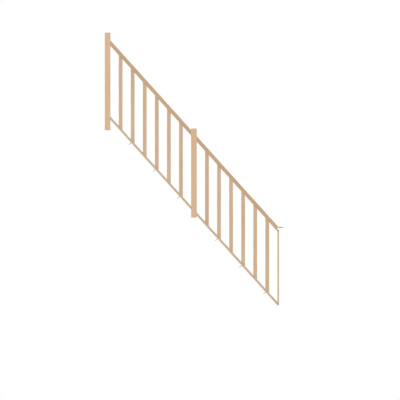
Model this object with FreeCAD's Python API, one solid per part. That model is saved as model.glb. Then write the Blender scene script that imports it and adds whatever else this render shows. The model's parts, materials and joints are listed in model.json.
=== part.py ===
"""Stair balustrade panel in planed beech: two newels and two raking bays of square balusters.

Millimetres. X runs level along the flight and points downhill, Y runs across the panel, Z is up.
The origin is the centre of the middle newel's foot.
"""
import FreeCAD, Part
import math
import os

Vector = FreeCAD.Vector

# Flight and bays
PITCH_DEG = 48.0  # slope of the flight
BAY_LENGTH = 897.0  # level, from its newel's face to its far end
BALUSTERS_PER_BAY = 6
PANEL_HEIGHT = 885.0  # plumb, from the base rail's underside to the handrail's top

# Newel posts
NEWEL_SIZE = 63.0
NEWEL_ARRIS = 3.0  # radius along the upright edges
NEWEL_TOP_CHAMFER = 4.0
NEWEL_RISE = 15.0  # top above the handrail's top, at the newel's uphill face
MIDDLE_NEWEL_DROP = 21.5  # foot below the base rail's underside, at the newel's downhill face
TOP_NEWEL_DROP = 116.0  # the same for the longer newel at the head of the flight

# Balusters
BALUSTER_SIZE = 42.0
BALUSTER_ARRIS = 2.0

# Handrail, measured square to its length
HANDRAIL_DEPTH = 42.0
HANDRAIL_WIDTH = 58.0
HANDRAIL_CROWN_RADIUS = 150.0  # gentle curve across the top
HANDRAIL_TOP_ARRIS = 6.0
HANDRAIL_LOW_ARRIS = 3.0
HANDRAIL_GROOVE_DEPTH = 8.0  # groove in the underside for the baluster heads

# Base rail, measured square to its length
BASE_RAIL_DEPTH = 25.0
BASE_RAIL_WIDTH = 58.0
BASE_RAIL_ARRIS = 2.5
BASE_RAIL_GROOVE_DEPTH = 6.0  # groove in the top for the baluster feet

# Fits in the grooves
GROOVE_SIDE_CLEARANCE = 0.3  # each side of a baluster or fillet
FILLET_END_CLEARANCE = 0.2  # each end of a fillet

# Upright batten that closes the lower end, as wide as a baluster
BATTEN_THICKNESS = 18.0
BATTEN_ARRIS = 1.5
BATTEN_LAP = 19.0  # how far it stands up over the handrail's end face

# Screw that stands level out of the handrail's lower end
END_SCREW_BELOW_TOP = 17.0  # plumb, below the top corner of the end face
END_SCREW_THREAD_DIA = 10.0
END_SCREW_SHANK_DIA = 7.0
END_SCREW_HEAD_DIA = 16.0
END_SCREW_HEAD_HEIGHT = 5.0
END_SCREW_EXPOSED = 55.0  # full thread outside the rail
END_SCREW_POINT = 16.0

# Screws that stand square out of the base rail's underside
BALUSTERS_PER_RAIL_SCREW = 2  # one under every second baluster
RAIL_SCREW_THREAD_DIA = 6.0
RAIL_SCREW_SHANK_DIA = 4.3
RAIL_SCREW_HEAD_DIA = 12.0
RAIL_SCREW_HEAD_HEIGHT = 4.0
RAIL_SCREW_EXPOSED = 30.0
RAIL_SCREW_POINT = 9.0

# Screw holes
HOLE_CLEARANCE = 0.25  # on the radius, round the thread and round the head
HEAD_COVER = 0.5  # depth of a sunk head below the groove's floor

# Directions and places along the flight
PITCH = math.radians(PITCH_DEG)
FALL = math.tan(PITCH)  # drop for each millimetre downhill
DOWNHILL = Vector(math.cos(PITCH), 0, -math.sin(PITCH))
SQUARE_UP = Vector(math.sin(PITCH), 0, math.cos(PITCH))
LEVEL_DOWNHILL = Vector(1, 0, 0)
NEWEL_HALF = NEWEL_SIZE / 2
TOP_NEWEL_X = -(NEWEL_SIZE + BAY_LENGTH)
UPPER_BAY_START = TOP_NEWEL_X + NEWEL_HALF
LOWER_BAY_START = NEWEL_HALF
LOWER_END = LOWER_BAY_START + BAY_LENGTH
BALUSTER_GAP = (BAY_LENGTH - BALUSTERS_PER_BAY * BALUSTER_SIZE) / (BALUSTERS_PER_BAY + 1)
BALUSTER_SPACING = BALUSTER_SIZE + BALUSTER_GAP
GROOVE_WIDTH = BALUSTER_SIZE + 2 * GROOVE_SIDE_CLEARANCE


def plumb(square_size):
    """Upright height of a size that is measured square to the slope."""
    return square_size / math.cos(PITCH)


# Plumb heights above the base rail's underside
BASE_RAIL_TOP = plumb(BASE_RAIL_DEPTH)
BASE_FLOOR = BASE_RAIL_TOP - plumb(BASE_RAIL_GROOVE_DEPTH)
HANDRAIL_UNDERSIDE = PANEL_HEIGHT - plumb(HANDRAIL_DEPTH)
HANDRAIL_FLOOR = HANDRAIL_UNDERSIDE + plumb(HANDRAIL_GROOVE_DEPTH)


def underside(x):
    """Height of the base rail's underside at a place along the flight."""
    return MIDDLE_NEWEL_DROP - FALL * (x - NEWEL_HALF)


def baluster_places(bay_start):
    """Level positions of a bay's baluster axes, from its uphill end."""
    first = bay_start + BALUSTER_GAP + BALUSTER_SIZE / 2
    return [first + i * BALUSTER_SPACING for i in range(BALUSTERS_PER_BAY)]


def rail_screw_places(bay_start):
    """Level positions of the balusters that have a screw under them."""
    return baluster_places(bay_start)[BALUSTERS_PER_RAIL_SCREW - 1 :: BALUSTERS_PER_RAIL_SCREW]


def raking_block(x0, x1, low, high, width):
    """Block with plumb ends between two slopes, given as heights above the base rail's underside."""
    near = -width / 2
    corners = [
        Vector(x0, near, underside(x0) + low),
        Vector(x1, near, underside(x1) + low),
        Vector(x1, near, underside(x1) + high),
        Vector(x0, near, underside(x0) + high),
    ]
    return Part.Face(Part.makePolygon(corners + corners[:1])).extrude(Vector(0, width, 0))


def square_post(x, size_x, size_y, low, high):
    """Plain upright post centred on x."""
    return Part.makeBox(size_x, size_y, high - low, Vector(x - size_x / 2, -size_y / 2, low))


def eased(post, arris):
    """The post with its four upright edges, those that rise further than they run, rounded."""
    boxes = [(edge, edge.BoundBox) for edge in post.Edges]
    upright = [edge for edge, box in boxes if box.ZLength > box.XLength + box.YLength]
    return post.makeFillet(arris, upright)


def newel(x, drop):
    """Square newel with a chamfered top, its foot set below the base rail that meets it."""
    foot = underside(x + NEWEL_HALF) - drop
    top = underside(x - NEWEL_HALF) + PANEL_HEIGHT + NEWEL_RISE
    post = square_post(x, NEWEL_SIZE, NEWEL_SIZE, foot, top)
    top_face = max(post.Faces, key=lambda face: face.CenterOfMass.z)
    chamfered = post.makeChamfer(NEWEL_TOP_CHAMFER, top_face.Edges)
    return eased(post, NEWEL_ARRIS).common(chamfered)


def baluster(x):
    """Square baluster cut to the pitch at both ends, standing from groove floor to groove floor."""
    x0 = x - BALUSTER_SIZE / 2
    x1 = x + BALUSTER_SIZE / 2
    low = underside(x1) + BASE_FLOOR
    high = underside(x0) + HANDRAIL_FLOOR
    post = eased(square_post(x, BALUSTER_SIZE, BALUSTER_SIZE, low, high), BALUSTER_ARRIS)
    return post.common(raking_block(x0, x1, BASE_FLOOR, HANDRAIL_FLOOR, BALUSTER_SIZE))


def section_arc(across, up, radius, start_deg, end_deg):
    """Arc in a rail's section about a centre, with angles measured from straight across."""

    def at(degrees):
        angle = math.radians(degrees)
        return Vector(0, across + radius * math.cos(angle), up + radius * math.sin(angle))

    return Part.Arc(at(start_deg), at((start_deg + end_deg) / 2), at(end_deg)).toShape()


def section_face(arcs):
    """Face inside a ring of arcs, with a straight line from each arc to the next where they part."""
    edges = []
    for arc, following in zip(arcs, arcs[1:] + arcs[:1]):
        end = arc.lastVertex().Point
        start = following.firstVertex().Point
        edges.append(arc)
        if not end.isEqual(start, FreeCAD.Base.Precision.confusion()):
            edges.append(Part.makeLine(end, start))
    return Part.Face(Part.Wire(edges))


def handrail_section():
    """Flat-sided section under a crowned top: the crown meets the top arrises at a tangent."""
    top_across = HANDRAIL_WIDTH / 2 - HANDRAIL_TOP_ARRIS
    crown_up = HANDRAIL_DEPTH - HANDRAIL_CROWN_RADIUS
    top_up = crown_up + math.sqrt((HANDRAIL_CROWN_RADIUS - HANDRAIL_TOP_ARRIS) ** 2 - top_across**2)
    tangent = math.degrees(math.atan2(top_up - crown_up, top_across))
    low_across = HANDRAIL_WIDTH / 2 - HANDRAIL_LOW_ARRIS
    return section_face([
        section_arc(low_across, HANDRAIL_LOW_ARRIS, HANDRAIL_LOW_ARRIS, -90, 0),
        section_arc(top_across, top_up, HANDRAIL_TOP_ARRIS, 0, tangent),
        section_arc(0, crown_up, HANDRAIL_CROWN_RADIUS, tangent, 180 - tangent),
        section_arc(-top_across, top_up, HANDRAIL_TOP_ARRIS, 180 - tangent, 180),
        section_arc(-low_across, HANDRAIL_LOW_ARRIS, HANDRAIL_LOW_ARRIS, 180, 270),
    ])


def base_rail_section():
    """Rectangular section with four eased arrises."""
    across = BASE_RAIL_WIDTH / 2 - BASE_RAIL_ARRIS
    high = BASE_RAIL_DEPTH - BASE_RAIL_ARRIS
    return section_face([
        section_arc(across, BASE_RAIL_ARRIS, BASE_RAIL_ARRIS, -90, 0),
        section_arc(across, high, BASE_RAIL_ARRIS, 0, 90),
        section_arc(-across, high, BASE_RAIL_ARRIS, 90, 180),
        section_arc(-across, BASE_RAIL_ARRIS, BASE_RAIL_ARRIS, 180, 270),
    ])


def raking_rail(section, depth, width, x0, x1, low):
    """Section carried down the slope past both ends, then cut plumb to butt what stands there."""
    start = x0 - depth
    section.Placement = FreeCAD.Placement(
        Vector(start, 0, underside(start) + low), FreeCAD.Rotation(Vector(0, 1, 0), PITCH_DEG)
    )
    bar = section.extrude(DOWNHILL * ((x1 + depth - start) / math.cos(PITCH)))
    return bar.common(raking_block(x0, x1, low - depth, low + plumb(depth) + depth, 2 * width))


def screw(seat, direction, thread_dia, shank_dia, head_dia, head_height, buried, exposed, point):
    """Pan-headed wood screw: plain shank in the timber, then full thread diameter and a point."""
    head = head_dia / 2
    shank = shank_dia / 2
    thread = thread_dia / 2
    outline = [
        Vector(0, 0, -head_height),
        Vector(head, 0, -head_height),
        Vector(head, 0, 0),
        Vector(shank, 0, 0),
        Vector(shank, 0, buried),
        Vector(thread, 0, buried),
        Vector(thread, 0, buried + exposed),
        Vector(0, 0, buried + exposed + point),
    ]
    half_section = Part.Face(Part.makePolygon(outline + outline[:1]))
    body = half_section.revolve(Vector(0, 0, 0), Vector(0, 0, 1), 360)
    body.Placement = FreeCAD.Placement(seat, FreeCAD.Rotation(Vector(0, 0, 1), direction))
    return body


def screw_hole(seat, direction, thread_dia, head_dia, ahead, behind):
    """Clear hole ahead of a screw's seat, and a wider sinking behind it for the head."""
    bore = Part.makeCylinder(thread_dia / 2 + HOLE_CLEARANCE, ahead, seat, direction)
    sinking = Part.makeCylinder(head_dia / 2 + HOLE_CLEARANCE, behind, seat, direction.negative())
    return bore.fuse(sinking)


def end_screw_seat():
    """Seat of the level screw, and its depth from the end face: its head just clears the groove's floor."""
    axis = PANEL_HEIGHT - END_SCREW_BELOW_TOP
    sinking = END_SCREW_HEAD_DIA / 2 + HOLE_CLEARANCE
    to_floor = (axis - HANDRAIL_FLOOR - sinking) / FALL
    depth = to_floor - END_SCREW_HEAD_HEIGHT - HEAD_COVER
    return Vector(LOWER_END - depth, 0, underside(LOWER_END) + axis), depth


def rail_screw_seat(x):
    """Seat of a base rail screw: its axis crosses the baluster's axis at the rail's top face."""
    sunk = BASE_RAIL_GROOVE_DEPTH + HEAD_COVER + RAIL_SCREW_HEAD_HEIGHT
    return Vector(x, 0, underside(x) + BASE_RAIL_TOP) - SQUARE_UP * sunk, BASE_RAIL_DEPTH - sunk


def end_screw():
    """Level screw that ties the handrail's lower end to the next newel."""
    seat, buried = end_screw_seat()
    return screw(
        seat, LEVEL_DOWNHILL, END_SCREW_THREAD_DIA, END_SCREW_SHANK_DIA, END_SCREW_HEAD_DIA,
        END_SCREW_HEAD_HEIGHT, buried, END_SCREW_EXPOSED, END_SCREW_POINT,
    )


def rail_screw(x):
    """Screw that ties the base rail down to the stair below it."""
    seat, buried = rail_screw_seat(x)
    return screw(
        seat, SQUARE_UP.negative(), RAIL_SCREW_THREAD_DIA, RAIL_SCREW_SHANK_DIA, RAIL_SCREW_HEAD_DIA,
        RAIL_SCREW_HEAD_HEIGHT, buried, RAIL_SCREW_EXPOSED, RAIL_SCREW_POINT,
    )


def handrail(bay_start):
    """One bay's handrail, grooved below for the baluster heads."""
    x1 = bay_start + BAY_LENGTH
    bar = raking_rail(
        handrail_section(), HANDRAIL_DEPTH, HANDRAIL_WIDTH, bay_start, x1, HANDRAIL_UNDERSIDE
    )
    return bar.cut(raking_block(bay_start, x1, HANDRAIL_UNDERSIDE, HANDRAIL_FLOOR, GROOVE_WIDTH))


def lower_handrail():
    """Lower bay's handrail, bored level through its end for the end screw."""
    seat, depth = end_screw_seat()
    hole = screw_hole(
        seat, LEVEL_DOWNHILL, END_SCREW_THREAD_DIA, END_SCREW_HEAD_DIA, depth, plumb(HANDRAIL_DEPTH)
    )
    return handrail(LOWER_BAY_START).cut(hole)


def base_rail(bay_start):
    """One bay's base rail, grooved above for the baluster feet and bored for its screws."""
    x1 = bay_start + BAY_LENGTH
    rail = raking_rail(base_rail_section(), BASE_RAIL_DEPTH, BASE_RAIL_WIDTH, bay_start, x1, 0)
    rail = rail.cut(raking_block(bay_start, x1, BASE_FLOOR, BASE_RAIL_TOP, GROOVE_WIDTH))
    for x in rail_screw_places(bay_start):
        seat, buried = rail_screw_seat(x)
        hole = screw_hole(
            seat, SQUARE_UP.negative(), RAIL_SCREW_THREAD_DIA, RAIL_SCREW_HEAD_DIA, buried, BASE_RAIL_DEPTH
        )
        rail = rail.cut(hole)
    return rail


def fillets(bay_start, low, high):
    """Strips that fill a groove between the balusters and out to the bay's ends."""
    half = BALUSTER_SIZE / 2
    places = baluster_places(bay_start)
    starts = [bay_start] + [x + half for x in places]
    ends = [x - half for x in places] + [bay_start + BAY_LENGTH]
    strips = [
        raking_block(x0 + FILLET_END_CLEARANCE, x1 - FILLET_END_CLEARANCE, low, high, BALUSTER_SIZE)
        for x0, x1 in zip(starts, ends)
    ]
    return Part.makeCompound(strips)


def end_batten():
    """Thin upright that closes the lower end, level with the base rail's lowest corner."""
    low = underside(LOWER_END)
    high = low + HANDRAIL_UNDERSIDE + BATTEN_LAP
    post = square_post(LOWER_END + BATTEN_THICKNESS / 2, BATTEN_THICKNESS, BALUSTER_SIZE, low, high)
    return eased(post, BATTEN_ARRIS)


pieces = {
    "top_newel": newel(TOP_NEWEL_X, TOP_NEWEL_DROP),
    "middle_newel": newel(0, MIDDLE_NEWEL_DROP),
    "upper_handrail": handrail(UPPER_BAY_START),
    "lower_handrail": lower_handrail(),
    "end_batten": end_batten(),
    "end_screw": end_screw(),
}
for bay, bay_start in (("upper", UPPER_BAY_START), ("lower", LOWER_BAY_START)):
    pieces[f"{bay}_base_rail"] = base_rail(bay_start)
    pieces[f"{bay}_handrail_fillets"] = fillets(bay_start, HANDRAIL_UNDERSIDE, HANDRAIL_FLOOR)
    pieces[f"{bay}_base_fillets"] = fillets(bay_start, BASE_FLOOR, BASE_RAIL_TOP)
    for number, x in enumerate(baluster_places(bay_start), start=1):
        pieces[f"{bay}_baluster_{number}"] = baluster(x)
    for number, x in enumerate(rail_screw_places(bay_start), start=1):
        pieces[f"{bay}_rail_screw_{number}"] = rail_screw(x)

os.makedirs("parts", exist_ok=True)
for name, shape in pieces.items():
    shape.exportStep(f"parts/{name}.step")
    print(name, "solids", len(shape.Solids), "cubic mm", round(shape.Volume))
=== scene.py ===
# %% [markdown]
# # A raking stair balustrade panel in beech
# The panel guards the open side of a stair. Two square newels carry two bays, each with a sloping
# handrail, a thin base rail and six square balusters between them. Fillets fill the grooves of the rails
# from one baluster to the next, and a thin batten closes the lower end. Seven steel screws stand out,
# ready to bite into the stair and into the next newel.
#
# The construction could be drawn again here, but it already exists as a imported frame, in metres, with
# every piece in its place. So it is loaded first, and each later cell asks the frame where a piece is,
# instead of placing anything by eye.

# %% Load the frame
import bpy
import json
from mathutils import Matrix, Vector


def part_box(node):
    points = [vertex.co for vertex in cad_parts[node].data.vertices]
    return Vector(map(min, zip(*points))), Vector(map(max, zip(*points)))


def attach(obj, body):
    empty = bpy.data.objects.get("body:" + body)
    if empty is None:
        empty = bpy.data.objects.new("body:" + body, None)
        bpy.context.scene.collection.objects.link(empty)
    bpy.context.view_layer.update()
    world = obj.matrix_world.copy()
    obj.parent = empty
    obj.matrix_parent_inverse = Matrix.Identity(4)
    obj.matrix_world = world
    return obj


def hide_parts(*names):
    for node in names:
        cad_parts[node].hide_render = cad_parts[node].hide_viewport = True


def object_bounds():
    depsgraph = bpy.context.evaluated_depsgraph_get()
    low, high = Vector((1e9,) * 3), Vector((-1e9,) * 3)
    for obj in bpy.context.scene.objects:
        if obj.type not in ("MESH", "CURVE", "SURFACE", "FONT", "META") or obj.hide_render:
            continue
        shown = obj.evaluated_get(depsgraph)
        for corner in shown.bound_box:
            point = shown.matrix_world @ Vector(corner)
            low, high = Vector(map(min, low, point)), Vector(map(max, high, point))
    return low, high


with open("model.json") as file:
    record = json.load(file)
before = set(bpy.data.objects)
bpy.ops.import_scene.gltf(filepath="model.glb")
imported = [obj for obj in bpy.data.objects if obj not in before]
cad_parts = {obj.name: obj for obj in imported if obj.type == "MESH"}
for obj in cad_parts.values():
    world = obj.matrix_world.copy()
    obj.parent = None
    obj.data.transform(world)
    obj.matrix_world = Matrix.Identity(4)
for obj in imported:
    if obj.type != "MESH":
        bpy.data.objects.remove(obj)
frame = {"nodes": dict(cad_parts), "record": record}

cad_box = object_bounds()
nodes = frame["nodes"]
print(len(nodes), "pieces between", *(tuple(round(v, 4) for v in corner) for corner in cad_box))

# %% [markdown]
# ## The camera
# The picture to match is a straight side view: both newels look equally wide and every upright is
# parallel, so there is no vanishing point. A long lens far away would come close, but an orthographic
# camera does it exactly. Its scale is the width of the whole picture in metres, and one known point fixes
# its place: the middle newel's foot, which is the frame's origin.

# %% Set up a side view with no perspective
import math
import bpy

MM = 0.001  # a millimetre in metres
PICTURE_PIXELS = 400
MM_PER_PIXEL = 11.12
FOOT_PIXEL_X = 193.93  # where the middle newel's foot shows, from the picture's left
FOOT_PIXEL_Y = 217.68  # and from its top
CAMERA_DISTANCE = 6.0

pixel = MM_PER_PIXEL * MM
middle_pixel = PICTURE_PIXELS / 2
side_view = bpy.data.cameras.new("side_view")
side_view.type = "ORTHO"
side_view.ortho_scale = PICTURE_PIXELS * pixel
camera = bpy.data.objects.new("side_view", side_view)
camera.location = (
    (middle_pixel - FOOT_PIXEL_X) * pixel, -CAMERA_DISTANCE, (FOOT_PIXEL_Y - middle_pixel) * pixel)
camera.rotation_euler = (math.radians(90), 0, 0)

scene = bpy.context.scene
scene.collection.objects.link(camera)
scene.camera = camera
scene.view_settings.view_transform = "Standard"
print("the picture is", round(side_view.ortho_scale, 3), "m wide")

# %% [markdown]
# ## Two small helpers
# Every finish below is made of shader nodes. Each could take a line for every property and link, but that
# would bury what the finish does. So one function adds a node, sets its properties, feeds its sockets with
# constants or links, and hands back its outputs. Colours are written as the sRGB hex codes that a paint
# program shows, but shaders work on linear light, so a second function converts them.

# %% Helpers for nodes and colours
import numpy as np


def add_node(tree, kind, inputs=None, **settings):
    """Add a node and return its outputs. settings are its properties, and inputs gives each socket either
    a constant or another node's output."""
    node = tree.nodes.new(kind)
    for name, value in settings.items():
        setattr(node, name, value)
    for socket, value in (inputs or {}).items():
        if isinstance(value, bpy.types.NodeSocket):
            tree.links.new(value, node.inputs[socket])
        else:
            node.inputs[socket].default_value = value
    return node.outputs


def linear(hex_colour):
    """sRGB to linear: a channel c is c / 12.92 where it is dark, else ((c + 0.055) / 1.055) ** 2.4."""
    c = np.array([int(hex_colour[i:i + 2], 16) for i in (1, 3, 5)]) / 255
    c = np.where(c <= 0.04045, c / 12.92, ((c + 0.055) / 1.055) ** 2.4)
    return (*c.tolist(), 1.0)


print("mid grey #808080 is", round(linear("#808080")[0], 3), "in linear light")

# %% [markdown]
# ## Studio light
# A pale dome lights the panel evenly from all round, as a white studio does. A picture of a studio could
# be wrapped round it instead, but a plain dome needs no file. The camera, and anything that mirrors or
# transmits it, sees the dome as plain white, while the light that reaches matt surfaces is weaker, so that
# a colour comes out about as it is written. Light Path tells the two kinds of ray apart, in a function that
# the floor uses too.

# %% Light the studio with a dome
DOME_STRENGTH = 0.45
BACKDROP_STRENGTH = 1.0  # plain white


def looked_at(tree):
    """1 for a ray that looks at a surface, from the camera, off a mirror or through glass, and 0 for a ray
    that only gathers its light: the largest of three answers of Light Path."""
    ray = add_node(tree, "ShaderNodeLightPath")
    bounced = {0: ray["Is Glossy Ray"], 1: ray["Is Transmission Ray"]}
    mirrored = add_node(tree, "ShaderNodeMath", bounced, operation="MAXIMUM")[0]
    straight = {0: ray["Is Camera Ray"], 1: mirrored}
    return add_node(tree, "ShaderNodeMath", straight, operation="MAXIMUM")[0]


world = bpy.data.worlds.new("studio")
world.use_nodes = True
tree = world.node_tree
tree.nodes.clear()
white = linear("#FFFFFF")
dome = add_node(tree, "ShaderNodeBackground", {"Color": white, "Strength": DOME_STRENGTH})[0]
backdrop = add_node(tree, "ShaderNodeBackground", {"Color": white, "Strength": BACKDROP_STRENGTH})[0]
either = add_node(tree, "ShaderNodeMixShader", {0: looked_at(tree), 1: dome, 2: backdrop})[0]
add_node(tree, "ShaderNodeOutputWorld", {"Surface": either})
scene.world = world
print("dome of strength", DOME_STRENGTH, "behind a white backdrop")

# %% [markdown]
# ## Two broad lamps
# A dome alone leaves a square post looking flat, because all four of its sides are lit alike. A key lamp
# in front, high on the left, and a weaker one behind give each side its own tone. Area lamps would fade
# along a panel three metres tall. Suns light its head as strongly as its foot, and their wide angle
# softens the shadows.

# %% Hang the key and the back lamp
from mathutils import Vector

LAMPS = {
    "key_lamp": {"strength": 1.35, "towards": (0.35, 0.80, -0.55), "spread_deg": 25},
    "back_lamp": {"strength": 0.9, "towards": (-0.45, -0.70, -0.60), "spread_deg": 40},
}

for name, lamp in LAMPS.items():
    sun = bpy.data.lights.new(name, "SUN")
    sun.energy = lamp["strength"]
    sun.angle = math.radians(lamp["spread_deg"])
    lamp_object = bpy.data.objects.new(name, sun)
    lamp_object.rotation_mode = "QUATERNION"
    lamp_object.rotation_quaternion = Vector(lamp["towards"]).to_track_quat("-Z", "Y")
    scene.collection.objects.link(lamp_object)
    print(name, "of strength", lamp["strength"])

# %% [markdown]
# ## The floor
# The panel's lowest point touches a plain pale floor, which takes its soft shadow. A curved backdrop would
# hide the horizon, but it would also stand behind the panel in the side view. A flat floor is seen edge-on
# there and vanishes, and it is so large that its rim stays out of the other views. Lit at a plain level it
# would look light grey, so it also glows a little, but only for rays that look at it. It comes out nearly
# white, keeps its shadow and adds no more than a faint reflection to the panel. From beneath it is clear,
# so that a camera below it still sees the rails' undersides.

# %% Lay the floor
FLOOR_HALF_WIDTH = 200.0
FLOOR_COLOUR = "#F1F0EE"
FLOOR_ROUGHNESS = 0.9
FLOOR_GLOW = 0.27

floor_mesh = bpy.data.meshes.new("floor")
square = FLOOR_HALF_WIDTH * np.array([[-1, -1], [1, -1], [1, 1], [-1, 1]])
corners = np.column_stack([square, np.full(len(square), cad_box[0].z)])
floor_mesh.from_pydata(corners.tolist(), [], [(0, 1, 2, 3)])
floor = bpy.data.objects.new("floor", floor_mesh)
scene.collection.objects.link(floor)

floor_paint = bpy.data.materials.new("matt_floor_paint")
floor_paint.use_nodes = True
floor_mesh.materials.append(floor_paint)
tree = floor_paint.node_tree
paint = tree.nodes["Principled BSDF"].inputs
paint["Base Color"].default_value = linear(FLOOR_COLOUR)
paint["Roughness"].default_value = FLOOR_ROUGHNESS
paint["Emission Color"].default_value = linear(FLOOR_COLOUR)
shown = {0: looked_at(tree), 1: FLOOR_GLOW}
glow = add_node(tree, "ShaderNodeMath", shown, operation="MULTIPLY")[0]
tree.links.new(glow, paint["Emission Strength"])
sides = {
    0: add_node(tree, "ShaderNodeNewGeometry")["Backfacing"],
    1: tree.nodes["Principled BSDF"].outputs[0],
    2: add_node(tree, "ShaderNodeBsdfTransparent")[0],
}
one_sided = add_node(tree, "ShaderNodeMixShader", sides)[0]
tree.links.new(one_sided, tree.nodes["Material Output"].inputs["Surface"])
print("floor at", round(cad_box[0].z, 4), "m")

# %% [markdown]
# ## Planed beech
# Beech is a pale, even, slightly pink hardwood. A planed and clear-lacquered face shows fine growth rings,
# short dark flecks where the rays are cut, a silky lengthwise fibre and slow drifts of tone. The end grain
# drinks the lacquer and turns darker, and the eased edges, which are sanded last, stay a little paler. An
# image would stretch over the ends and repeat from post to post. A solid pattern does not: each piece is
# cut, so to speak, from its own log, with rings about a pith that lies to one side, and every face shows
# its own cut of it.
#
# The rings of real beech are 2 to 4 mm wide and its flecks about 1 mm by 4 mm. One pixel of the side view
# covers 11 mm, so both are drawn two to five times coarser than life, or nothing of them would show.

# %% Sizes of the grain in millimetres
RING_MM = 8.0
RING_STRETCH = 14.0
STREAKS = {
    "fibre": {"size_mm": 2.0, "stretch": 60.0, "detail": 3.0},
    "drift": {"size_mm": 90.0, "stretch": 5.0, "detail": 2.0},
    "fleck": {"size_mm": 3.0, "stretch": 7.0, "detail": 1.0},
}

WAVE_PERIOD = math.tau / 20  # distance between rings of the Wave texture at a scale of 1


def per_metre(size_mm):
    """Scale of a noise whose features are size_mm apart: how many of them fit in a metre."""
    return 1 / (size_mm * MM)


print("the rings take a wave scale of", round(WAVE_PERIOD * per_metre(RING_MM), 1))

# %% [markdown]
# ### The grain of one piece
# Rings, fibre and flecks all run the length of a piece, so every texture reads the place as seen from the
# pith, with Z along the grain. A noise is the same in all directions, so its coordinates are squeezed along
# Z, and what it draws comes out that many times longer than wide. Rings could be bent out of a noise too,
# but a Wave texture in its ring form keeps them even, and its sawtooth profile suits them, because each
# year's growth darkens slowly and ends at a sharp line.

# %% Rings, fibre, drift and flecks
RING_FORM = {"wave_type": "RINGS", "rings_direction": "Z", "wave_profile": "SAW"}
RING_WOBBLE = {"Distortion": 3.0, "Detail": 2.0, "Detail Scale": 0.6}


def grain_textures(tree, timber):
    """Rings round Z and three noises stretched along Z, each from 0 to 1, read at the place timber."""
    squeeze = {"Vector": timber, "Scale": (1, 1, 1 / RING_STRETCH)}
    place = add_node(tree, "ShaderNodeMapping", squeeze)[0]
    rings = {"Vector": place, "Scale": WAVE_PERIOD * per_metre(RING_MM), **RING_WOBBLE}
    grain = {"rings": add_node(tree, "ShaderNodeTexWave", rings, **RING_FORM)["Fac"]}
    for name, streak in STREAKS.items():
        squeeze = {"Vector": timber, "Scale": (1, 1, 1 / streak["stretch"])}
        place = add_node(tree, "ShaderNodeMapping", squeeze)[0]
        noise = {"Vector": place, "Scale": per_metre(streak["size_mm"]), "Detail": streak["detail"]}
        grain[name] = add_node(tree, "ShaderNodeTexNoise", noise)["Fac"]
    return grain


print("a fleck is", STREAKS["fleck"]["size_mm"] * STREAKS["fleck"]["stretch"], "mm long")

# %% [markdown]
# ### Tone and flecks
# The tone of a planed face goes up and down with the rings, the fibre and a slow drift along the board. A
# colour ramp for each of them would be hard to balance. Here they are simply added up, each with its share,
# to one tone between the piece's dark and pale wood, and the same tone serves as relief later. A fleck is
# the top of its own noise, cut off with a short soft edge.

# %% The tone of a planed face
TONE_SHARES = {"rings": 0.34, "fibre": 0.26, "drift": 0.90}
FLECK_EDGE = (0.60, 0.72)
FLECK_DEPTH = 0.30


def face_tone(tree, grain, paleness):
    """Share of pale wood: paleness plus the sum of share * (texture - 0.5) over rings, fibre and drift."""
    tone = paleness - sum(TONE_SHARES.values()) / 2
    for name, share in TONE_SHARES.items():
        terms = {0: grain[name], 1: share, 2: tone}
        tone = add_node(tree, "ShaderNodeMath", terms, operation="MULTIPLY_ADD")[0]
    return tone


def fleck_stain(tree, fleck):
    """Share of stain: nothing below the fleck's edge, and a straight rise across it to the full depth."""
    rise = {"Value": fleck, "From Min": FLECK_EDGE[0], "From Max": FLECK_EDGE[1], "To Max": FLECK_DEPTH}
    return add_node(tree, "ShaderNodeMapRange", rise)[0]


print("shares of the tone:", TONE_SHARES)

# %% [markdown]
# ### End grain and eased edges
# An end face is one whose normal runs along the grain, so the dot product of the two finds it, and its
# rings show as dark arcs. An eased edge could be found with a Bevel node, but that is slow and grainy. A
# post is a plain prism, so its edges are known: on any long face one of the two distances to the face
# planes is nothing, and the larger one is the distance to the nearest edge. A grooved or crowned rail
# comes close enough to a prism for the same rule.

# %% Where the wood turns darker and paler
END_GRAIN_EDGE = (0.55, 0.95)
END_GRAIN_DEPTH = (0.40, 0.72)
PALE_EDGE_MM = 5.0
PALE_EDGE_DEPTH = 0.55


def end_grain_stain(tree, normal, lengthwise, rings):
    """Share of stain: how squarely the face crosses the grain, times a depth that follows the rings."""
    pair = {0: normal, 1: lengthwise}
    cosine = add_node(tree, "ShaderNodeVectorMath", pair, operation="DOT_PRODUCT")["Value"]
    squareness = add_node(tree, "ShaderNodeMath", {0: cosine}, operation="ABSOLUTE")[0]
    rise = {"Value": squareness, "From Min": END_GRAIN_EDGE[0], "From Max": END_GRAIN_EDGE[1]}
    crossed = add_node(tree, "ShaderNodeMapRange", rise)[0]
    arcs = {"Value": rings, "To Min": END_GRAIN_DEPTH[0], "To Max": END_GRAIN_DEPTH[1]}
    depth = add_node(tree, "ShaderNodeMapRange", arcs)[0]
    return add_node(tree, "ShaderNodeMath", {0: crossed, 1: depth}, operation="MULTIPLY")[0]


def edge_paleness(tree, place, half_section, fibre):
    """Share of pale wood: falls in a straight line from the edge to nothing, broken up by the fibre."""
    beside = add_node(tree, "ShaderNodeVectorMath", {0: place}, operation="ABSOLUTE")[0]
    inset = add_node(tree, "ShaderNodeVectorMath", {0: half_section, 1: beside}, operation="SUBTRACT")[0]
    inset = add_node(tree, "ShaderNodeSeparateXYZ", {"Vector": inset})
    away = add_node(tree, "ShaderNodeMath", {0: inset["X"], 1: inset["Y"]}, operation="MAXIMUM")[0]
    fall = {"Value": away, "From Max": PALE_EDGE_MM * MM, "To Min": PALE_EDGE_DEPTH, "To Max": 0.0}
    near = add_node(tree, "ShaderNodeMapRange", fall)[0]
    return add_node(tree, "ShaderNodeMath", {0: near, 1: fibre}, operation="MULTIPLY")[0]


print("edges are paler over", PALE_EDGE_MM, "mm")

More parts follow.
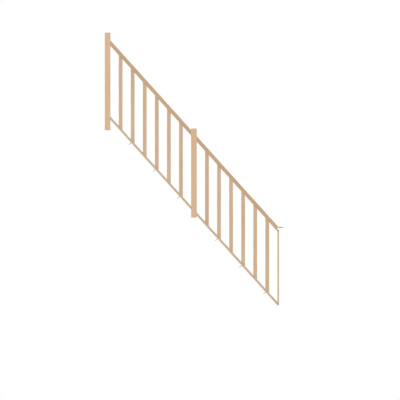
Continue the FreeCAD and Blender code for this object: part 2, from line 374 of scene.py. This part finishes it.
# %% [markdown]
# ### The finished beech
# Two Mapping nodes read the place. The first moves the origin to the middle of the piece and turns Z along
# its length, which is upright in a post and sloping in a rail. The second moves the pith aside and leans
# it a little, so that rings run out at the faces in long tongues, as sawn boards show them. The colours
# are then laid on in layers over the dark wood. Lacquer could be a coat of its own, but at a satin gloss
# the shader's plain reflection looks the same: an index of refraction of 1.5, a roughness that follows the
# fibre, and the grain just felt as relief. A fillet lies sunk in its groove, where neither of the last two
# shows, so it has one even sheen.

# %% The beech material
LACQUER_IOR = 1.5
LACQUER_ROUGHNESS = (0.42, 0.56)
GRAIN_RELIEF_MM = 0.12
GRAIN_RELIEF_STRENGTH = 0.35
MIX_UNDER, MIX_OVER, MIX_RESULT = 6, 7, 2  # the colour sockets of a Mix node, which has others before them


def planed_beech(name, colours, piece, log):
    """Clear-lacquered planed beech for one piece, given where it lies and the log that it is cut from."""
    material = bpy.data.materials.new(name)
    material.use_nodes = True
    tree = material.node_tree
    source = add_node(tree, "ShaderNodeTexCoord")
    seat = {"Vector": source["Object"], "Location": piece["centre"], "Rotation": piece["turn"]}
    place = add_node(tree, "ShaderNodeMapping", seat, vector_type="TEXTURE")[0]
    seat = {"Vector": place, "Location": log["pith"], "Rotation": log["lean"]}
    timber = add_node(tree, "ShaderNodeMapping", seat, vector_type="TEXTURE")[0]
    lengthwise = (math.sin(piece["turn"][1]), 0.0, math.cos(piece["turn"][1]))  # Z, turned about Y

    grain = grain_textures(tree, timber)
    tone = face_tone(tree, grain, log["paleness"])
    layers = (
        (tone, "pale"),
        (fleck_stain(tree, grain["fleck"]), "stain"),
        (edge_paleness(tree, place, piece["half_section"], grain["fibre"]), "pale"),
        (end_grain_stain(tree, source["Normal"], lengthwise, grain["rings"]), "stain"),
    )
    wood = colours["dark"]
    for share, colour in layers:
        layer = {"Factor": share, MIX_UNDER: wood, MIX_OVER: colours[colour]}
        wood = add_node(tree, "ShaderNodeMix", layer, data_type="RGBA")[MIX_RESULT]

    lacquer = tree.nodes["Principled BSDF"].inputs
    lacquer["IOR"].default_value = LACQUER_IOR
    lacquer["Roughness"].default_value = sum(LACQUER_ROUGHNESS) / 2
    tree.links.new(wood, lacquer["Base Color"])
    if not piece["sunk"]:
        sheen = {"Value": grain["fibre"], "To Min": LACQUER_ROUGHNESS[0], "To Max": LACQUER_ROUGHNESS[1]}
        relief = {"Height": tone, "Strength": GRAIN_RELIEF_STRENGTH, "Distance": GRAIN_RELIEF_MM * MM}
        tree.links.new(add_node(tree, "ShaderNodeMapRange", sheen)[0], lacquer["Roughness"])
        tree.links.new(add_node(tree, "ShaderNodeBump", relief)[0], lacquer["Normal"])
    return material


print("lacquer of roughness", *LACQUER_ROUGHNESS)

# %% [markdown]
# ## Colours of the timber
# One colour for the whole panel would look moulded, because one stack of beech is never one colour, so the
# thin pieces are a little greyer. The handrail is a little darker and browner than the posts, and that is
# painted shade: the same beech, given the shade that falls on its side. Each kind of piece has three
# colours: its darker and its paler wood, and the stain of flecks and end grain.

# %% Choose the colours
BEECH_COLOURS_AND_PAINTED_SHADE = {
    "newel": {"dark": "#CFAB84", "pale": "#E5C19F", "stain": "#A9805A"},
    "baluster": {"dark": "#C6A37F", "pale": "#DCBC9C", "stain": "#9F7B57"},
    # the handrail's darker, browner colours are painted shade on the same beech as the posts
    "handrail": {"dark": "#BB9A74", "pale": "#D2B18F", "stain": "#92714C"},
    "base": {"dark": "#C3A582", "pale": "#D9BC9C", "stain": "#997B58"},
    "batten": {"dark": "#C4A382", "pale": "#D9BC9C", "stain": "#9B7D59"},
}
print("kinds of timber:", *BEECH_COLOURS_AND_PAINTED_SHADE)

# %% [markdown]
# ## The place of each piece
# A post's grain stands upright and a rail's follows the slope. The slope could be written down again here,
# but then it would have to be changed in two places. The screws under the base rail stand square to it, so
# the axis of any of their mounts gives the pitch. A rail's box is as tall as its whole fall and its
# section, and taking the fall away leaves the section's plumb height.

# %% Measure a piece from the frame
SLOPING = ("handrail", "base")

mounts = {mount["name"]: mount for mount in frame["record"]["mounts"]}
square_to_rail = mounts["upper_rail_screw_1_thread"]["axis"]
pitch = math.atan2(-square_to_rail[0], -square_to_rail[2])


def timber_piece(name, sloping):
    """Middle of a piece, the turn that lays Z along its grain, half its section square to that, and
    whether it lies sunk in a groove."""
    low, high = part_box(name)
    size = high - low
    plumb = size.z - size.x * math.tan(pitch)
    thickness = plumb * math.cos(pitch) if sloping else size.x
    return {
        "centre": (low + high) / 2,
        "turn": (0.0, pitch + math.pi / 2 if sloping else 0.0, 0.0),
        "half_section": (thickness / 2, size.y / 2, 0.0),
        "sunk": "fillets" in name,
    }


print("the rails slope at", round(math.degrees(pitch), 2), "degrees")

# %% [markdown]
# ## Dressing the timber
# One material could serve all pieces of a kind, but then neighbours would look cut from the same place. So
# each piece gets its own: seeded random numbers choose where the pith lies beside it, how it leans and how
# pale the wood is. Pieces differ, as boards from one stack do, and every run gives the same panel.

# %% Give every timber piece its own cut of beech
LOG_SEED = 48
PITH_ASIDE_MM = (25, 90)
PITH_ALONG_MM = 2000
LEAN_DEG = 1.2
MIDDLE_TONE = 0.5
TONE_SPREAD = 0.07


def cut_from_log(choose):
    """The pith's place and lean as the piece sees them, and how pale the wood is, from 0 to 1."""
    aside = choose.uniform(*PITH_ASIDE_MM) * MM
    side = choose.uniform(0, math.tau)
    along = choose.uniform(-1, 1) * PITH_ALONG_MM * MM
    return {
        "pith": (aside * math.cos(side), aside * math.sin(side), along),
        "lean": (*np.radians(choose.uniform(-LEAN_DEG, LEAN_DEG, 2)).tolist(), 0.0),
        "paleness": MIDDLE_TONE + choose.uniform(-TONE_SPREAD, TONE_SPREAD),
    }


choose = np.random.default_rng(LOG_SEED)
timber_names = sorted(name for name in nodes if "screw" not in name)
for name in timber_names:
    kind = next(kind for kind in BEECH_COLOURS_AND_PAINTED_SHADE if kind in name)
    colours = {layer: linear(colour) for layer, colour in BEECH_COLOURS_AND_PAINTED_SHADE[kind].items()}
    piece = timber_piece(name, kind in SLOPING)
    beech = planed_beech(f"planed_beech_{name}", colours, piece, cut_from_log(choose))
    nodes[name].data.materials.clear()
    nodes[name].data.materials.append(beech)
print(len(timber_names), "timber pieces dressed")

# %% [markdown]
# ## Zinc-plated steel
# The screws are rolled from steel wire and plated with zinc, which dulls to a middling, faintly bluish
# grey within months. A metal has no colour of its own beneath the reflection, so metallic is 1 and the
# base colour is the share of light that it reflects. One flat grey would be simpler, but it would look
# like plastic, so a cloudy noise varies the grey and the roughness, as a thin passivated coating does.

# %% The zinc material
ZINC_COLOURS = ("#5F6165", "#75777B")
ZINC_ROUGHNESS = (0.48, 0.30)
ZINC_CLOUD_MM = 6.0
ZINC_CLOUD_DETAIL = 4.0


def plated_zinc(name):
    """Dulled zinc plate: one cloudy noise moves both the grey and the roughness."""
    material = bpy.data.materials.new(name)
    material.use_nodes = True
    tree = material.node_tree
    dull, bright = (linear(colour) for colour in ZINC_COLOURS)
    place = add_node(tree, "ShaderNodeTexCoord")["Object"]
    noise = {"Vector": place, "Scale": per_metre(ZINC_CLOUD_MM), "Detail": ZINC_CLOUD_DETAIL}
    cloud = add_node(tree, "ShaderNodeTexNoise", noise)["Fac"]
    greys = {"Factor": cloud, MIX_UNDER: dull, MIX_OVER: bright}
    grey = add_node(tree, "ShaderNodeMix", greys, data_type="RGBA")[MIX_RESULT]
    sheen = {"Value": cloud, "To Min": ZINC_ROUGHNESS[0], "To Max": ZINC_ROUGHNESS[1]}
    plate = tree.nodes["Principled BSDF"].inputs
    plate["Metallic"].default_value = 1.0
    tree.links.new(grey, plate["Base Color"])
    tree.links.new(add_node(tree, "ShaderNodeMapRange", sheen)[0], plate["Roughness"])
    return material


zinc = plated_zinc("zinc_plated_steel")
print("made", zinc.name)

# %% [markdown]
# ## Threaded screws
# The frame holds each screw as a plain pointed cylinder with a head. A wood screw has a sharp, widely
# spaced helical ridge on a thinner core, and that is what would be missed up close. A triangle could be
# swept along a helix, but that leaves a loose coil to be joined to the core. Here the screw is instead one
# surface over a grid of height and angle: its radius is the core's, raised wherever the point is close to
# the helix. So it is closed from the head to the tip, with no seam to weld.

# %% The ridge of the thread
CREST_HALF_WIDTH = 0.36  # of a turn, from the ridge's crest to its foot


def ridge_height(height, angle, turn_length):
    """How far up the ridge a point is, from 0 on the core to 1 on the crest. The distance to the nearest
    turn of the helix is counted in turns, and the ridge falls off with it in a straight line each way."""
    turns = height / turn_length - angle / math.tau
    off_crest = np.abs(turns - np.round(turns))
    return np.clip(1 - off_crest / CREST_HALF_WIDTH, 0, 1)


print("a tenth of a turn off its crest the ridge stands", round(ridge_height(0.1, 0.0, 1.0), 2), "high")

# %% [markdown]
# ### From head to tip
# The ridge stands on a bevelled head, a plain shank and a core that tapers to the point. These could be
# separate solids, joined by booleans, but rows of height and radius give them all at once. A third column
# holds the thread's depth, which grows out of the shank over the first turn and fades along the point.

# %% The rows of a screw
ROWS_PER_TURN = 18
CORE_SHARE = 0.72  # of the thread's radius
TURN_LENGTH_SHARE = 0.56  # of the thread's diameter
HEAD_BEVEL_SHARE = 0.12  # of the head's radius


def screw_rows(plain):
    """Rows of height, core radius and thread depth, from the head's top to just short of the tip, and the
    length of a turn. Core and thread are shares of the plain radius, times the point's straight taper."""
    bevel = plain["head_radius"] * HEAD_BEVEL_SHARE
    top, seat, start = plain["top"], plain["seat"], plain["thread_start"]
    head = np.array([
        [top, plain["head_radius"] - bevel, 0],
        [top + bevel, plain["head_radius"], 0],
        [seat, plain["head_radius"], 0],
        [seat, plain["shank_radius"], 0],
    ])
    turn_length = 2 * plain["radius"] * TURN_LENGTH_SHARE
    count = math.ceil((plain["tip"] - start) / turn_length * ROWS_PER_TURN)
    height = np.linspace(start, plain["tip"], count, endpoint=False)
    taper = np.clip((plain["tip"] - height) / (plain["tip"] - plain["point_start"]), 0, 1)
    run_in = np.clip((height - start) / turn_length, 0, 1)
    core = plain["radius"] * (1 + (CORE_SHARE - 1) * run_in)
    core = np.minimum(core, plain["shank_radius"]) * taper
    depth = plain["radius"] * (1 - CORE_SHARE) * run_in * taper
    return np.vstack([head, np.column_stack([height, core, depth])]), turn_length


print("a thread turn is", TURN_LENGTH_SHARE, "of the screw's width")

# %% [markdown]
# ### A closed skin
# A screw is one piece of steel, so its mesh has no open edge. A Screw modifier could carry a profile up a
# helix, but it can't let the thread fade, so the mesh is made in three steps. Each row turns into a ring of
# points round the axis, each pair of neighbouring rings is joined by four-sided faces, and one point closes
# each end with a fan of triangles. The corners of every face run anticlockwise seen from outside, so all
# faces point outwards.

# %% Turn rows into a mesh
SIDES = 28
SHARP_EDGE_DEG = 50


def screw_mesh(name, base, axis, plain):
    """Rings of points base + height * axis + radius * (cos * across + sin * up), joined into a skin."""
    rows, turn_length = screw_rows(plain)
    height, core, depth = (column[:, None] for column in rows.T)
    angle = np.linspace(0, math.tau, SIDES, endpoint=False)[None, :]
    radius = core + depth * ridge_height(height, angle, turn_length)
    across = np.array([0.0, 1.0, 0.0])
    up = np.cross(axis, across)
    around = np.cos(angle)[..., None] * across + np.sin(angle)[..., None] * up
    skin = base + height[..., None] * axis + radius[..., None] * around
    ends = base + np.outer([plain["top"], plain["tip"]], axis)
    points = np.vstack([skin.reshape(-1, 3), ends])

    index = np.arange(len(rows) * SIDES).reshape(len(rows), SIDES)
    onward = np.roll(index, -1, axis=1)
    walls = np.stack([index[:-1], onward[:-1], onward[1:], index[1:]], axis=-1).reshape(-1, 4)
    head_pole = np.full(SIDES, index.size)
    head_fan = np.column_stack([head_pole, onward[0], index[0]])
    tip_fan = np.column_stack([head_pole + 1, index[-1], onward[-1]])

    mesh = bpy.data.meshes.new(name)
    mesh.from_pydata(points.tolist(), [], walls.tolist() + head_fan.tolist() + tip_fan.tolist())
    mesh.shade_smooth()
    mesh.set_sharp_from_angle(angle=math.radians(SHARP_EDGE_DEG))
    return mesh


print("each ring has", SIDES, "points")

# %% [markdown]
# ### Measuring the plain screws
# The pin mounts in the record say where each thread leaves the timber, which way it points, how thick it
# is and how far it stands out. The rest of the outline could be typed in again, but it is safer to read it
# from the plain solid: the distance of each vertex along the axis and away from it gives the head, the
# seat, the shank and the tip.

# %% Read a plain screw's outline
HIDDEN_THREAD_SHARE = 0.6  # how far up to the head the thread runs on inside the timber
RIM_SHARE = 0.99  # vertices beyond this share of the largest distance from the axis are on the head's rim
SAME_HEIGHT = 1e-5


def plain_outline(node, base, axis, radius, length):
    """Heights and radii of a plain screw, from its vertices' distances along the axis and away from it."""
    points = np.empty(len(node.data.vertices) * 3)
    node.data.vertices.foreach_get("co", points)
    points = points.reshape(-1, 3) - base
    along = points @ axis
    away = np.linalg.norm(points - np.outer(along, axis), axis=1)
    seat = along[away > RIM_SHARE * away.max()].max()
    shank = away[(np.abs(along - seat) < SAME_HEIGHT) & (away < radius)]
    return {
        "radius": radius, "head_radius": away.max(), "shank_radius": shank.max(),
        "top": along.min(), "seat": seat, "thread_start": seat * HIDDEN_THREAD_SHARE,
        "point_start": length, "tip": along.max(),
    }


pins = {name.removesuffix("_thread"): mount for name, mount in mounts.items() if mount["kind"] == "pin"}
print(len(pins), "screws to thread")

# %% [markdown]
# ### From plain to threaded
# Each threaded screw is worked out where the plain one lies and takes its place. The plain solid could be
# cut into shape with modifiers, but it also serves for collisions, so it stays as it is and is only
# hidden.

# %% Make the seven screws
for node_name, pin in pins.items():
    axis = np.array(pin["axis"])
    length = pin["dims"]["length_mm"] * MM
    base = np.array(pin["pos_m"]) - axis * length / 2
    plain = plain_outline(nodes[node_name], base, axis, pin["dims"]["r_mm"] * MM, length)
    mesh = screw_mesh(f"threaded_{node_name}", base, axis, plain)
    mesh.materials.append(zinc)
    screw = bpy.data.objects.new(mesh.name, mesh)
    scene.collection.objects.link(screw)
    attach(screw, "root")
    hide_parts(node_name)
    print(screw.name, {key: round(float(value) / MM, 2) for key, value in plain.items()})

# %% [markdown]
# ## Size and finish
# Dressing must not change the panel's size. Its renders could be looked over for that, but an eye misses a
# millimetre.

# %% Finish
import json
